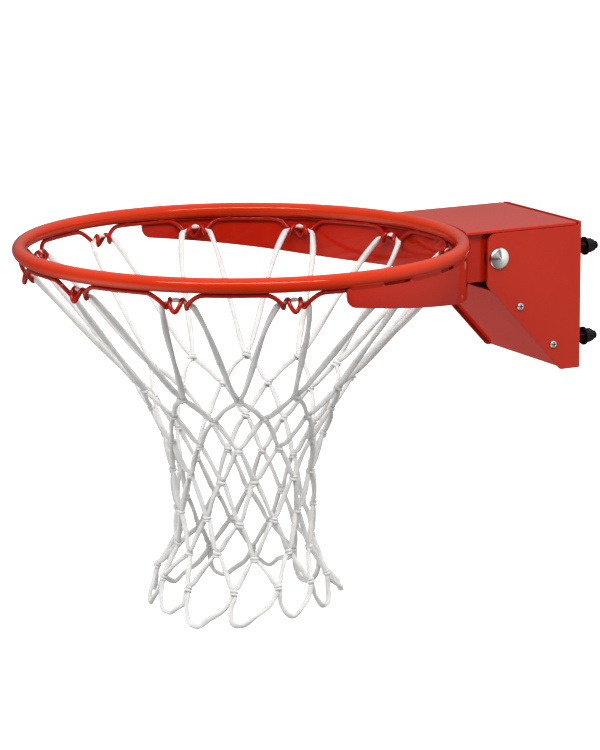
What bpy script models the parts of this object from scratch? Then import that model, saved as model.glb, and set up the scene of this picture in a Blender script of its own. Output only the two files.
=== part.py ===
"""Breakaway basketball goal: ring, net, sprung arm, wall housing and mounting bolts.

Metres, +Z up. The origin is the centre of the mounting plate's back face. +Y points into the
backboard, so the ring reaches out along -Y, and the goal is symmetric about X = 0.
"""

import math

import bmesh
import bpy
from mathutils import Matrix, Vector

# Regulation sizes
INCH = 0.0254
RING_INSIDE = 18 * INCH
RING_REACH = 15 * INCH
ROD_RADIUS = 5 / 16 * INCH
BOLT_DIAMETER = 3 / 8 * INCH
BOLT_LENGTH = 1.25 * INCH
BOLT_NUT = 9 / 16 * INCH
BACKBOARD = 0.012
BOLT_SPACING_X = 5 * INCH
BOLT_SPACING_Z = 4 * INCH

# Housing
PLATE_WIDTH = 0.160
PLATE_HEIGHT = 0.164
SHEET = 0.003
HOUSING_DEPTH = 0.122
FLANGE_TOP = 0.078
FLANGE_STEP = 0.0204
FLANGE_FOOT = 0.027
COVER_RECESS = 0.004
COVER_SHEET = 0.002

# Fasteners and pins
GAP = 0.0003
THROUGH = 0.1  # half the length of a cutter that passes right through the goal
PIVOT_RADIUS = 0.006
SLEEVE_RADIUS = 0.008
BUSHING_RADIUS = 0.010
PIN_RADIUS = 0.004
DRAW_BOLT_RADIUS = 0.005
EYE_HALF_WIDTH = 0.004
SCREW_HOLE = 0.0023

# Places
RING_RADIUS = RING_INSIDE / 2 + ROD_RADIUS
RING_CENTRE = Vector((0, -RING_REACH, 0.076))
PIVOT = Vector((0, -0.108, 0.050))
DRAW_BOLT_REACH = 0.076
LEVER_PIN_DROP = 0.0168
NET_HINGE_DROP = 0.060

# Spring under its seat
SEAT_TOP = 0.022
SEAT_THICKNESS = 0.005
SPRING_FOOT = -0.046
SPRING_WIRE = 0.00225
SPRING_RADIUS = 0.01075
DRAW_BOLT_FOOT = -0.061

# Arm
ARM_TOP = 0.0815
ARM_WALL_OUTSIDE = 0.072
ARM_BOTTOM = 0.0245
ARM_REAR = -0.0070
ARM_WALL_REAR = -0.020

# Band round the ring's rear half
BAND_OUTSIDE = RING_RADIUS + 0.005
BAND_OVERHANG = 0.004
BAND_END_DEPTH = 0.027
BAND_FULL_DEPTH = 0.055

# Net
HOOKS = 12
HOOK_TURN = math.radians(-1.2)
WIRE_RADIUS = 0.0024
NET_THICKNESS = 0.002

HALF_WIDTH = PLATE_WIDTH / 2
INSIDE_WIDTH = HALF_WIDTH - SHEET
PIN_Y = PIVOT.y + DRAW_BOLT_REACH
PIN_Z = PIVOT.z - LEVER_PIN_DROP


# ---------------------------------------------------------------- helpers


def material(name, colour, roughness, metallic=0.0):
    made = bpy.data.materials.new(name)
    made.use_nodes = True
    shader = made.node_tree.nodes["Principled BSDF"]
    shader.inputs["Base Color"].default_value = (*colour, 1)
    shader.inputs["Roughness"].default_value = roughness
    shader.inputs["Metallic"].default_value = metallic
    return made


def finish_mesh(name, bm, surface=None, smooth_under=30):
    """A named object from a bmesh, its faces turned outwards and its round faces smooth."""
    bmesh.ops.recalc_face_normals(bm, faces=bm.faces)
    mesh = bpy.data.meshes.new(name)
    bm.to_mesh(mesh)
    bm.free()
    mesh.shade_smooth()
    mesh.set_sharp_from_angle(angle=math.radians(smooth_under))
    if surface:
        mesh.materials.append(surface)
    obj = bpy.data.objects.new(name, mesh)
    bpy.context.scene.collection.objects.link(obj)
    return obj


def prism(name, outline, across, low, high, surface=None):
    """An outline extruded along an axis. across is 'X' (outline in Y, Z), 'Y' (X, Z) or 'Z' (X, Y)."""
    place = {
        "X": lambda a, b, h: (h, a, b),
        "Y": lambda a, b, h: (a, h, b),
        "Z": lambda a, b, h: (a, b, h),
    }[across]
    bm = bmesh.new()
    face = bm.faces.new([bm.verts.new(place(a, b, low)) for a, b in outline])
    grown = bmesh.ops.extrude_face_region(bm, geom=[face])["geom"]
    moved = [item for item in grown if isinstance(item, bmesh.types.BMVert)]
    bmesh.ops.translate(bm, verts=moved, vec=Vector(place(0, 0, high - low)))
    return finish_mesh(name, bm, surface)


def box(name, low, high, surface=None):
    corners = [(low[0], low[1]), (high[0], low[1]), (high[0], high[1]), (low[0], high[1])]
    return prism(name, corners, "Z", low[2], high[2], surface)


def turned(name, profile, axis, centre, steps=24, surface=None, closed_ring=False):
    """A profile of (radius, height) points spun round an axis through centre.

    A solid profile starts and ends on the axis; a closed_ring one is a loop clear of it.
    """
    turn = {"X": Matrix.Rotation(math.pi / 2, 4, "Y"), "Y": Matrix.Rotation(-math.pi / 2, 4, "X")}
    bm = bmesh.new()
    points = [bm.verts.new((radius, 0, height)) for radius, height in profile]
    loop = points + points[:1] if closed_ring else points
    edges = [bm.edges.new(pair) for pair in zip(loop, loop[1:])]
    bmesh.ops.spin(
        bm, geom=points + edges, cent=(0, 0, 0), axis=(0, 0, 1), angle=2 * math.pi, steps=steps
    )
    bmesh.ops.remove_doubles(bm, verts=bm.verts, dist=1e-6)
    bmesh.ops.transform(bm, matrix=turn.get(axis, Matrix.Identity(4)), verts=bm.verts)
    bmesh.ops.translate(bm, verts=bm.verts, vec=Vector(centre))
    return finish_mesh(name, bm, surface)


def tube(name, inner, outer, low, high, axis, centre, steps=24, surface=None):
    profile = [(inner, low), (outer, low), (outer, high), (inner, high)]
    return turned(name, profile, axis, centre, steps, surface, closed_ring=True)


def rod(name, radius, low, high, axis, centre, steps=24, surface=None):
    profile = [(0, low), (radius, low), (radius, high), (0, high)]
    return turned(name, profile, axis, centre, steps, surface)


def combine(target, others, operation):
    """Joins, cuts or intersects target with the other objects, which are used up."""
    for other in others:
        other.hide_render = True
        other.display_type = "WIRE"
        modifier = target.modifiers.new(other.name, "BOOLEAN")
        modifier.operation = operation
        modifier.object = other
    graph = bpy.context.evaluated_depsgraph_get()
    mesh = bpy.data.meshes.new_from_object(target.evaluated_get(graph))
    target.modifiers.clear()
    target.data = mesh
    for other in others:
        bpy.data.objects.remove(other)
    mesh.shade_smooth()
    mesh.set_sharp_from_angle(angle=math.radians(30))
    return target


def rounded(corners, steps=5):
    """An outline from (a, b, radius) corners, each rounded by an arc."""
    outline = []
    for index, (a, b, radius) in enumerate(corners):
        here = Vector((a, b))
        if radius == 0:
            outline.append(here)
            continue
        back = (Vector(corners[index - 1][:2]) - here).normalized()
        onward = (Vector(corners[(index + 1) % len(corners)][:2]) - here).normalized()
        half = back.angle(onward) / 2
        centre = here + (back + onward).normalized() * radius / math.sin(half)
        start = here + back * radius / math.tan(half) - centre
        sweep = start.angle_signed(here + onward * radius / math.tan(half) - centre)
        for step in range(steps + 1):
            turn = Matrix.Rotation(-sweep * step / steps, 2)
            outline.append(centre + turn @ start)
    return [tuple(point) for point in outline]


def hexagon(across_flats):
    radius = across_flats / math.sqrt(3)
    return [(radius * math.cos(i * math.pi / 3), radius * math.sin(i * math.pi / 3)) for i in range(6)]


def shift(obj, offset):
    obj.data.transform(Matrix.Translation(offset))
    return obj


def pipe(name, points, radius, surface, resolution=1, cyclic=False):
    """A round wire along points, as a mesh with closed ends."""
    curve = bpy.data.curves.new(name, "CURVE")
    curve.dimensions = "3D"
    curve.bevel_depth = radius
    curve.bevel_resolution = resolution
    curve.use_fill_caps = not cyclic
    spline = curve.splines.new("POLY")
    spline.points.add(len(points) - 1)
    for point, place in zip(spline.points, points):
        point.co = (*place, 1)
    spline.use_cyclic_u = cyclic
    curve.materials.append(surface)
    obj = bpy.data.objects.new(name, curve)
    bpy.context.scene.collection.objects.link(obj)
    return obj


def around_ring(angle, inward, drop):
    """A point by the ring: its angle in radians from +Y, distance in from the bar, and drop."""
    radius = RING_RADIUS - inward
    return RING_CENTRE + Vector((radius * math.sin(angle), radius * math.cos(angle), -drop))


def group(name, place, members):
    """Parents the members to an empty on their joint's axis."""
    empty = bpy.data.objects.new(name, None)
    empty.location = place
    empty.empty_display_size = 0.03
    bpy.context.scene.collection.objects.link(empty)
    bpy.context.view_layer.update()
    for member in members:
        member.parent = empty
        member.matrix_parent_inverse = empty.matrix_world.inverted()


# ---------------------------------------------------------------- housing


def slanted(along, inward):
    """A point (y, z) measured down the flange's slanted edge and square in from it."""
    start = Vector((-HOUSING_DEPTH, FLANGE_STEP))
    end = Vector((-FLANGE_FOOT, -PLATE_HEIGHT / 2))
    down = (end - start).normalized()
    inside = Vector((-down.y, down.x))
    return start + down * along + inside * inward


COVER_SCREW_PLACES = [slanted(0.0475, 0.0125), slanted(0.111, 0.0125)]


def mount_holes():
    """Centres (x, z) of the four holes in the mounting plate."""
    return [
        (side * BOLT_SPACING_X / 2, level * BOLT_SPACING_Z / 2) for level in (1, -1) for side in (1, -1)
    ]


def mount_bracket(paint):
    margin = 0.01
    bend = 0.005
    front = -HOUSING_DEPTH - margin
    channel = rounded(
        [
            (HALF_WIDTH, front, 0),
            (HALF_WIDTH, 0, bend),
            (-HALF_WIDTH, 0, bend),
            (-HALF_WIDTH, front, 0),
            (-INSIDE_WIDTH, front, 0),
            (-INSIDE_WIDTH, -SHEET, bend - SHEET),
            (INSIDE_WIDTH, -SHEET, bend - SHEET),
            (INSIDE_WIDTH, front, 0),
        ]
    )
    half_height = PLATE_HEIGHT / 2
    bracket = prism(
        "mount_bracket", channel, "Z", -half_height - margin, half_height + margin, paint
    )
    side = rounded(
        [
            (margin, -half_height, 0),
            (-FLANGE_FOOT, -half_height, 0.004),
            (-HOUSING_DEPTH, FLANGE_STEP, 0.008),
            (-HOUSING_DEPTH, FLANGE_TOP, 0.011),
            (-2 * SHEET, FLANGE_TOP, 0),
            (-1.4 * SHEET, half_height, 0),
            (margin, half_height, 0),
        ],
        steps=6,
    )
    combine(bracket, [prism("side_shape", side, "X", -THROUGH, THROUGH)], "INTERSECT")
    cutters = [rod("pivot_hole", PIVOT_RADIUS + GAP, -THROUGH, THROUGH, "X", PIVOT)]
    for number, (y, z) in enumerate(COVER_SCREW_PLACES):
        cutters.append(rod(f"screw_hole_{number}", SCREW_HOLE, -THROUGH, THROUGH, "X", (0, y, z), 12))
    half_hole = 0.0051
    for number, (x, z) in enumerate(mount_holes()):
        low = (x - half_hole, -margin, z - half_hole)
        high = (x + half_hole, margin, z + half_hole)
        cutters.append(box(f"square_hole_{number}", low, high))
    return combine(bracket, cutters, "DIFFERENCE")


def lower_cover(paint):
    """A folded cover: a slanted panel and two tabs that the screws go into."""
    start = 0.0165
    end = 0.1430
    tab = 0.024
    beyond = 0.01
    width = INSIDE_WIDTH - 0.0007
    outer = [
        slanted(start, COVER_RECESS),
        slanted(end, COVER_RECESS),
        slanted(end - 0.012, COVER_RECESS + tab),
        slanted(start, COVER_RECESS + tab),
    ]
    hollow = [
        slanted(start - beyond, COVER_RECESS + COVER_SHEET),
        slanted(end + beyond, COVER_RECESS + COVER_SHEET),
        slanted(end + beyond, COVER_RECESS + tab + beyond),
        slanted(start - beyond, COVER_RECESS + tab + beyond),
    ]
    cover = prism("lower_cover", outer, "X", -width, width, paint)
    inside = width - COVER_SHEET
    cutters = [prism("cover_hollow", hollow, "X", -inside, inside)]
    for number, (y, z) in enumerate(COVER_SCREW_PLACES):
        cutters.append(rod(f"cover_hole_{number}", SCREW_HOLE, -THROUGH, THROUGH, "X", (0, y, z), 12))
    return combine(cover, cutters, "DIFFERENCE")


def cover_screw(number, side, place, steel):
    """A pan-head screw with a cross recess, through the flange and the cover's tab."""
    head_radius = 0.0042
    head_height = 0.0024
    shank_radius = SCREW_HOLE - 0.0004
    length = 0.0075
    face = HALF_WIDTH + GAP
    tip = face - length
    dome = [(head_radius * 0.8, face + head_height * 0.85), (0, face + head_height)]
    profile = [(0, tip), (shank_radius, tip), (shank_radius, face), (head_radius, face)]
    profile += [(head_radius, face + head_height * 0.4)] + dome
    screw = turned(f"cover_screw_{number}", profile, "X", (0, place[0], place[1]), 16, steel)
    arm, half_slot = 0.0024, 0.0005
    low, high = face + head_height * 0.45, face + head_height * 2
    cutters = []
    for name, a, b in (("slot_a", arm, half_slot), ("slot_b", half_slot, arm)):
        corners = [(place[0] - a, place[1] - b), (place[0] + a, place[1] - b)]
        corners += [(place[0] + a, place[1] + b), (place[0] - a, place[1] + b)]
        cutters.append(prism(name, corners, "X", low, high))
    combine(screw, cutters, "DIFFERENCE")
    if side < 0:
        mirror_x(screw)
    return screw


def mirror_x(obj):
    obj.data.transform(Matrix.Scale(-1, 4, (1, 0, 0)))
    obj.data.flip_normals()
    return obj


def spring_seat(paint):
    """The shelf over the spring, with two gussets down the plate and a slot for the draw bolt."""
    beside_bend = 0.0022
    half_width = INSIDE_WIDTH - beside_bend
    back = -SHEET - GAP
    front = -0.066
    low, high = (-half_width, front, SEAT_TOP - SEAT_THICKNESS), (half_width, back, SEAT_TOP)
    shelf = box("spring_seat", low, high, paint)
    under = low[2]
    merge = 0.001
    drop, foot, nose = 0.034, 0.006, 0.004
    gusset_x, half_gusset = 0.045, 0.002
    tip = front + 0.010
    gussets = []
    for side in (1, -1):
        corners = [(back, under + merge), (back, under - drop), (back - foot, under - drop)]
        corners += [(tip, under - nose), (tip, under + merge)]
        middle = side * gusset_x
        gussets.append(
            prism(f"gusset_{side}", corners, "X", middle - half_gusset, middle + half_gusset)
        )
    combine(shelf, gussets, "UNION")
    half = DRAW_BOLT_RADIUS + 0.001
    swing = 0.0022
    corner = half - 0.0001
    slot = rounded(
        [
            (-half, PIN_Y - half, corner),
            (half, PIN_Y - half, corner),
            (half, PIN_Y + half + swing, corner),
            (-half, PIN_Y + half + swing, corner),
        ]
    )
    return combine(shelf, [prism("bolt_slot", slot, "Z", -THROUGH, THROUGH)], "DIFFERENCE")


def pivot_parts(steel, zinc, black_steel):
    """The pivot bolt with its turned head, its sleeve, washer and lock nut."""
    face = HALF_WIDTH + GAP
    end = -0.0955
    head_radius = 0.012
    head = [(head_radius, face), (head_radius, face + 0.0014), (head_radius - 0.0008, face + 0.0021)]
    head += [(0.006, face + 0.0041), (0.0015, face + 0.0052), (0, face + 0.0053)]
    profile = [(0, end), (PIVOT_RADIUS, end), (PIVOT_RADIUS, face)] + head
    turned("pivot_bolt", profile, "X", PIVOT, 32, steel)
    inner = PIVOT_RADIUS + GAP
    sleeve_end = INSIDE_WIDTH - 0.0005
    tube("pivot_sleeve", inner, SLEEVE_RADIUS, -sleeve_end, sleeve_end, "X", PIVOT, 24, zinc)
    washer_face = -face - 0.002
    tube("pivot_washer", inner, head_radius, washer_face, -face, "X", PIVOT, 24, zinc)
    nut = lock_nut("pivot_nut", 0.018, PIVOT_RADIUS + GAP, 0.010, black_steel)
    nut.data.transform(Matrix.Rotation(math.pi / 2, 4, "Z"))
    shift(nut, (washer_face - GAP, PIVOT.y, PIVOT.z))


def lock_nut(name, across_flats, hole_radius, height, surface):
    """A hexagon nut with a round collar, its seat at y = 0 and its collar towards +Y."""
    hexagon_height = height * 0.72
    nut = prism(name, hexagon(across_flats), "Y", 0, hexagon_height, surface)
    radius = across_flats * 0.47
    low = hexagon_height - 0.001
    edge = 0.0008
    collar = [(0, low), (radius, low), (radius, height - edge), (radius - edge, height), (0, height)]
    combine(nut, [turned("collar", collar, "Y", (0, 0, 0), 24)], "UNION")
    hole = rod("nut_hole", hole_radius, -THROUGH, THROUGH, "Y", (0, 0, 0))
    return combine(nut, [hole], "DIFFERENCE")


def rest_pad(name, side, rubber):
    """The rubber pad on the seat that an arm wall rests on."""
    low, high = sorted((side * 0.0650, side * 0.0742))
    front, back = -0.058, -0.032
    return box(name, (low, front, SEAT_TOP + GAP), (high, back, ARM_BOTTOM - GAP), rubber)


# ---------------------------------------------------------------- mounting hardware


def mounting_set(number, place, black_steel):
    """A carriage bolt through a square hole, with its washer and lock nut behind the backboard."""
    x, z = place
    head_face = -SHEET - GAP
    radius = BOLT_DIAMETER / 2 - 0.0001
    head_radius = 0.0103
    head_height = 0.005
    dome = [(head_radius, head_face), (head_radius, head_face - 0.001)]
    dome += [(0.0086, head_face - 0.0031), (0.0048, head_face - 0.0046), (0, head_face - head_height)]
    end = head_face + BOLT_LENGTH
    point = 0.0008
    profile = [(0, end), (radius - point, end), (radius, end - point), (radius, head_face)] + dome
    bolt = turned(f"carriage_bolt_{number}", profile, "Y", (x, 0, z), 20, black_steel)
    neck, neck_length = 0.0047, 0.0055
    low, high = (x - neck, head_face - 0.001, z - neck), (x + neck, head_face + neck_length, z + neck)
    combine(bolt, [box("square_neck", low, high)], "UNION")
    far_face = BACKBOARD + 0.0018
    hole = BOLT_DIAMETER / 2 + 0.0005
    centre = (x, 0, z)
    tube(f"washer_{number}", hole, head_radius, BACKBOARD, far_face, "Y", centre, 24, black_steel)
    nut = lock_nut(f"lock_nut_{number}", BOLT_NUT, BOLT_DIAMETER / 2 + 0.0002, 0.0105, black_steel)
    shift(nut, (x, far_face + GAP, z))


# ---------------------------------------------------------------- ring, band and arm


def rim_ring(paint):
    circle = [
        (RING_RADIUS + ROD_RADIUS * math.cos(a), ROD_RADIUS * math.sin(a))
        for a in (2 * math.pi * step / 12 for step in range(12))
    ]
    return turned("rim_ring", circle, "Z", RING_CENTRE, 72, paint, closed_ring=True)


def band_depth(distance):
    """How far the band's lower edge is under the ring, at a distance along it from its end."""
    straight, full = 0.170, 0.281
    slope = 2 * (BAND_FULL_DEPTH - BAND_END_DEPTH) / (straight + full)
    if distance < straight:
        depth = BAND_END_DEPTH + slope * distance
    else:
        left = max(full - distance, 0)
        depth = BAND_FULL_DEPTH - slope * left**2 / (2 * (full - straight))
    corner = 0.010
    if distance < corner:
        depth -= corner - math.sqrt(corner**2 - (corner - distance) ** 2)
    return depth


def brace_band(paint):
    """A sheet band bent round the ring's rear half, with four gaps in its weld to the bar."""
    length = BAND_OUTSIDE * math.pi / 2 + BAND_OVERHANG
    top = 0.00805
    notch = 0.0012
    gaps = [(0.0450, 0.0815), (0.1370, 0.1690)]
    stations = {length * step / 30 for step in range(31)} | {0.0015, 0.0035, 0.006, 0.010}
    for start, end in gaps:
        stations |= {start, start + 0.0004, end - 0.0004, end}
    stations = sorted(stations)
    rings = [(-1, d) for d in stations] + [(1, d) for d in stations[-2::-1]]
    bm = bmesh.new()
    loops = []
    for side, distance in rings:
        angle = side * (length - distance) / BAND_OUTSIDE
        lowered = any(start < distance < end for start, end in gaps)
        upper = top + notch if lowered else top
        lower = band_depth(distance)
        outward = RING_RADIUS - BAND_OUTSIDE
        inner = outward + SHEET
        corners = [(inner, upper), (outward, upper), (outward, lower), (inner, lower)]
        loops.append([bm.verts.new(around_ring(angle, a, b)) for a, b in corners])
    for loop, after in zip(loops, loops[1:]):
        for i in range(4):
            j = (i + 1) % 4
            bm.faces.new((loop[i], loop[j], after[j], after[i]))
    bm.faces.new(loops[0])
    bm.faces.new(loops[-1])
    return finish_mesh("brace_band", bm, paint)


def arm_channel(paint):
    """The arm: a top plate over the flanges and two walls between them, cut to fit the ring."""
    front = RING_CENTRE.y + RING_INSIDE / 2 - 0.0086
    web_low = ARM_TOP - SHEET
    web = [
        (HALF_WIDTH, front, 0),
        (HALF_WIDTH, ARM_REAR, 0.003),
        (-HALF_WIDTH, ARM_REAR, 0.003),
        (-HALF_WIDTH, front, 0),
    ]
    arm = prism("arm_channel", rounded(web, 3), "Z", web_low, ARM_TOP, paint)
    bm = bmesh.new()
    bm.from_mesh(arm.data)
    sides = [
        edge
        for edge in bm.edges
        if all(abs(abs(v.co.x) - HALF_WIDTH) < 1e-6 and v.co.z > ARM_TOP - 1e-6 for v in edge.verts)
    ]
    bmesh.ops.bevel(
        bm, geom=sides, offset=0.0018, offset_type="OFFSET", segments=3, profile=0.5, affect="EDGES"
    )
    bm.to_mesh(arm.data)
    bm.free()
    walls = []
    for side in (1, -1):
        wall = rounded(
            [
                (front, ARM_BOTTOM, 0),
                (ARM_WALL_REAR, ARM_BOTTOM, 0.006),
                (ARM_WALL_REAR, ARM_TOP - SHEET / 2, 0),
                (front, ARM_TOP - SHEET / 2, 0),
            ],
            3,
        )
        low, high = sorted((side * (ARM_WALL_OUTSIDE - SHEET), side * ARM_WALL_OUTSIDE))
        walls.append(prism(f"wall_{side}", wall, "X", low, high))
    combine(arm, walls, "UNION")
    under_bar = -0.0078
    far_below, far_above = -0.1, 0.05
    beside_band = BAND_OUTSIDE + GAP
    beside_bar = RING_RADIUS + ROD_RADIUS + GAP
    notch = [(0, far_below), (beside_band, far_below), (beside_band, under_bar)]
    notch += [(beside_bar, under_bar), (beside_bar, far_above), (0, far_above)]
    cutters = [
        turned("ring_notch", notch, "Z", RING_CENTRE, 144),
        rod("bushing_holes", BUSHING_RADIUS + GAP, -THROUGH, THROUGH, "X", PIVOT),
        rod("pin_holes", PIN_RADIUS + GAP, -THROUGH, THROUGH, "X", (0, PIN_Y, PIN_Z), 16),
    ]
    return combine(arm, cutters, "DIFFERENCE")


def bushing(name, side, nylon):
    """A flanged bushing in the arm's wall, running on the pivot sleeve."""
    inner, barrel, flange = SLEEVE_RADIUS + GAP, BUSHING_RADIUS, 0.014
    wall_in = ARM_WALL_OUTSIDE - SHEET - 0.0005
    seat, end = ARM_WALL_OUTSIDE + GAP, INSIDE_WIDTH - 0.0008
    profile = [(inner, wall_in), (barrel, wall_in), (barrel, seat)]
    profile += [(flange, seat), (flange, end), (inner, end)]
    made = turned(name, profile, "X", PIVOT, 24, nylon, closed_ring=True)
    return mirror_x(made) if side < 0 else made


def lever_parts(steel, nylon):
    """The cross pin that lifts the draw bolt, and its two spacers."""
    centre = (0, PIN_Y, PIN_Z)
    end = ARM_WALL_OUTSIDE + 0.0016
    pin = rod("lever_pin", PIN_RADIUS, -end, end, "X", centre, 16, steel)
    inside = ARM_WALL_OUTSIDE - SHEET - GAP
    beside_eye = EYE_HALF_WIDTH + 0.0004
    bore, outer = PIN_RADIUS + GAP, 0.0065
    left = tube("pin_spacer_left", bore, outer, beside_eye, inside, "X", centre, 16, nylon)
    right = tube("pin_spacer_right", bore, outer, -inside, -beside_eye, "X", centre, 16, nylon)
    return [pin, left, right]


# ---------------------------------------------------------------- spring and draw bolt


def draw_bolt(steel):
    """An eye on a threaded shank, hung on the lever pin."""
    centre = (0, PIN_Y, PIN_Z)
    bolt = rod("draw_bolt", 0.010, -EYE_HALF_WIDTH, EYE_HALF_WIDTH, "X", centre, 28, steel)
    under_pin = PIN_Z - 0.007
    shank = rod("shank", DRAW_BOLT_RADIUS, DRAW_BOLT_FOOT, under_pin, "Z", (0, PIN_Y, 0), 20)
    combine(bolt, [shank], "UNION")
    eye = rod("eye", PIN_RADIUS + GAP, -THROUGH, THROUGH, "X", centre, 16)
    return combine(bolt, [eye], "DIFFERENCE")


def spring(steel):
    """A compression spring under the seat, with a closed turn at each end."""
    turns, steps = 6, 14
    high = SEAT_TOP - SEAT_THICKNESS - GAP - SPRING_WIRE
    low = SPRING_FOOT + SPRING_WIRE
    closed_pitch = 2 * SPRING_WIRE + 0.0004
    open_pitch = (high - low - 2 * closed_pitch) / (turns - 2)
    points = []
    for step in range(turns * steps + 1):
        turn = step / steps
        opened = min(max(turn - 1, 0), turns - 2)
        drop = closed_pitch * (turn - opened) + open_pitch * opened
        angle = 2 * math.pi * turn
        x, y = SPRING_RADIUS * math.cos(angle), PIN_Y + SPRING_RADIUS * math.sin(angle)
        points.append((x, y, high - drop))
    return pipe("spring", points, SPRING_WIRE, steel)


def draw_bolt_parts(zinc, black_steel):
    """The washer under the spring, with the nut and the jam nut that hold it."""
    centre = (0, PIN_Y, 0)
    washer_high = SPRING_FOOT - GAP
    washer_low = washer_high - 0.0025
    nut_high = washer_low - GAP
    nut_low = nut_high - 0.0060
    jam_high = nut_low - GAP
    jam_low = jam_high - 0.0035
    flats = 0.016
    hole = DRAW_BOLT_RADIUS + GAP
    washer = tube("spring_washer", hole, 0.0140, washer_low, washer_high, "Z", centre, 24, zinc)
    nut = prism("spring_nut", hexagon(flats), "Z", nut_low, nut_high, black_steel)
    jam = prism("jam_nut", hexagon(flats), "Z", jam_low, jam_high, black_steel)
    for obj in (nut, jam):
        shift(obj, centre)
        combine(obj, [rod("thread", hole, -THROUGH, 0, "Z", centre)], "DIFFERENCE")
    return [washer, nut, jam]


# ---------------------------------------------------------------- net hooks and net


def hook_path():
    """Half a hook, from the middle outwards: (along the bar, inward from it, drop below it)."""
    return [
        Vector((0.0, 0.0016, 0.0287)),
        Vector((0.0052, 0.0031, 0.0222)),
        Vector((0.0066, 0.0077, 0.0163)),
        Vector((0.0092, 0.0119, 0.0212)),
        Vector((0.0110, 0.0090, 0.0255)),
        Vector((0.0134, 0.0050, 0.0212)),
        Vector((0.0182, 0.0022, 0.0160)),
        Vector((0.0245, 0.0009, 0.0119)),
        Vector((0.0305, 0.0007, 0.0107)),
    ]


def net_wire(paint):
    """One wire welded under the ring, bent into a ram's-horn hook every 30 degrees."""
    half = hook_path()
    mirrored = [Vector((-p.x, p.y, p.z)) for p in half[:0:-1]]
    spacing = 2 * math.pi / HOOKS
    places = []
    for number in range(HOOKS):
        middle = spacing * (number + 0.5) + HOOK_TURN
        for point in mirrored + half:
            places.append(around_ring(middle + point.x / RING_RADIUS, point.y, point.z))
        places.append(around_ring(middle + spacing / 2, half[-1].y, half[-1].z))
    return pipe("net_wire", places, WIRE_RADIUS, paint, cyclic=True)


def net_shell(name, profile, cord):
    """An open-ended shell from (radius, drop) points below the ring."""
    outer = [(radius, -drop) for radius, drop in profile]
    inner = [(radius - NET_THICKNESS, -drop) for radius, drop in reversed(profile)]
    return turned(name, outer + inner, "Z", RING_CENTRE, 28, cord, closed_ring=True)


NET_TOP = [(0.2190, 0.0295), (0.1860, 0.0695)]
NET_BODY = [
    (0.1815, 0.0750),
    (0.1200, 0.1500),
    (0.1000, 0.1800),
    (0.0840, 0.2150),
    (0.0770, 0.2500),
    (0.0770, 0.3100),
    (0.0880, 0.3500),
    (0.1040, 0.3920),
]


# ---------------------------------------------------------------- the goal


def build():
    for obj in list(bpy.data.objects):
        bpy.data.objects.remove(obj)
    paint = material("orange_powder_coat", (0.60, 0.035, 0.012), 0.32)
    steel = material("turned_steel", (0.62, 0.60, 0.57), 0.30, 1.0)
    zinc = material("zinc_plate", (0.55, 0.56, 0.58), 0.40, 1.0)
    black_steel = material("black_oxide", (0.018, 0.018, 0.020), 0.42, 0.6)
    rubber = material("black_rubber", (0.02, 0.02, 0.02), 0.85)
    nylon = material("black_nylon", (0.030, 0.030, 0.032), 0.50)
    cord = material("white_cord", (0.82, 0.80, 0.76), 0.85)

    mount_bracket(paint)
    lower_cover(paint)
    spring_seat(paint)
    for number, (side, place) in enumerate(
        [(side, place) for side in (1, -1) for place in COVER_SCREW_PLACES], start=1
    ):
        cover_screw(number, side, place, zinc)
    pivot_parts(steel, zinc, black_steel)
    rest_pad("rest_pad_left", 1, rubber)
    rest_pad("rest_pad_right", -1, rubber)
    for number, place in enumerate(mount_holes(), start=1):
        mounting_set(number, place, black_steel)
    spring(zinc)

    rim = [rim_ring(paint), brace_band(paint), arm_channel(paint), net_wire(paint)]
    rim += [bushing("bushing_left", 1, nylon), bushing("bushing_right", -1, nylon)]
    rim += lever_parts(steel, nylon) + [net_shell("net_upper", NET_TOP, cord)]
    group("breakaway_axis", PIVOT, rim)
    group("draw_axis", (0, PIN_Y, PIN_Z), [draw_bolt(steel)] + draw_bolt_parts(zinc, black_steel))
    net_hinge = RING_CENTRE - Vector((0, 0, NET_HINGE_DROP))
    group("net_axis", net_hinge, [net_shell("net_lower", NET_BODY, cord)])


build()
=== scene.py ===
"""Looks of a breakaway basketball goal: powder-coated ring, band, arm and housing, and a cord net."""

import math
import random

import bmesh
import bpy
import numpy as np
from mathutils import Matrix, Quaternion, Vector


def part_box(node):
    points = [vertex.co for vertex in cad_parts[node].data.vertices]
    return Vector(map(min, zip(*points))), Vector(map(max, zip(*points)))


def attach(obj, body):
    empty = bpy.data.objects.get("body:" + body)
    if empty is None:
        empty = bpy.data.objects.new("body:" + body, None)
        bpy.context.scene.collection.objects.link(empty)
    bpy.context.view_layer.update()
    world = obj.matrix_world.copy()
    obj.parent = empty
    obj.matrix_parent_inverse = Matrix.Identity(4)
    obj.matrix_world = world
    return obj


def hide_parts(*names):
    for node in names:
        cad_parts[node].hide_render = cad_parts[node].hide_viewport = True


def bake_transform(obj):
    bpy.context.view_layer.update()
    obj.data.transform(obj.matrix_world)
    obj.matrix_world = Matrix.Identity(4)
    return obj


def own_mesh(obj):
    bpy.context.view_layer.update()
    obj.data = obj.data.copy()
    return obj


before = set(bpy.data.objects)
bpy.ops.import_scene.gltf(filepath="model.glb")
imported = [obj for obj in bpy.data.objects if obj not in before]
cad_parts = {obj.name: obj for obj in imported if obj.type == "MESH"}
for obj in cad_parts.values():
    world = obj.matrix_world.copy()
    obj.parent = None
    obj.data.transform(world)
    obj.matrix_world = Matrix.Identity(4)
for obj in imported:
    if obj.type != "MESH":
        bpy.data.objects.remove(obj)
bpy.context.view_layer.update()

# Ring and band, read from the frame
RING_LOW, RING_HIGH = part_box("rim_ring")
RING_CENTRE = (RING_LOW + RING_HIGH) / 2
ROD_RADIUS = (RING_HIGH.z - RING_LOW.z) / 2
RING_RADIUS = (RING_HIGH.x - RING_LOW.x) / 2 - ROD_RADIUS
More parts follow.
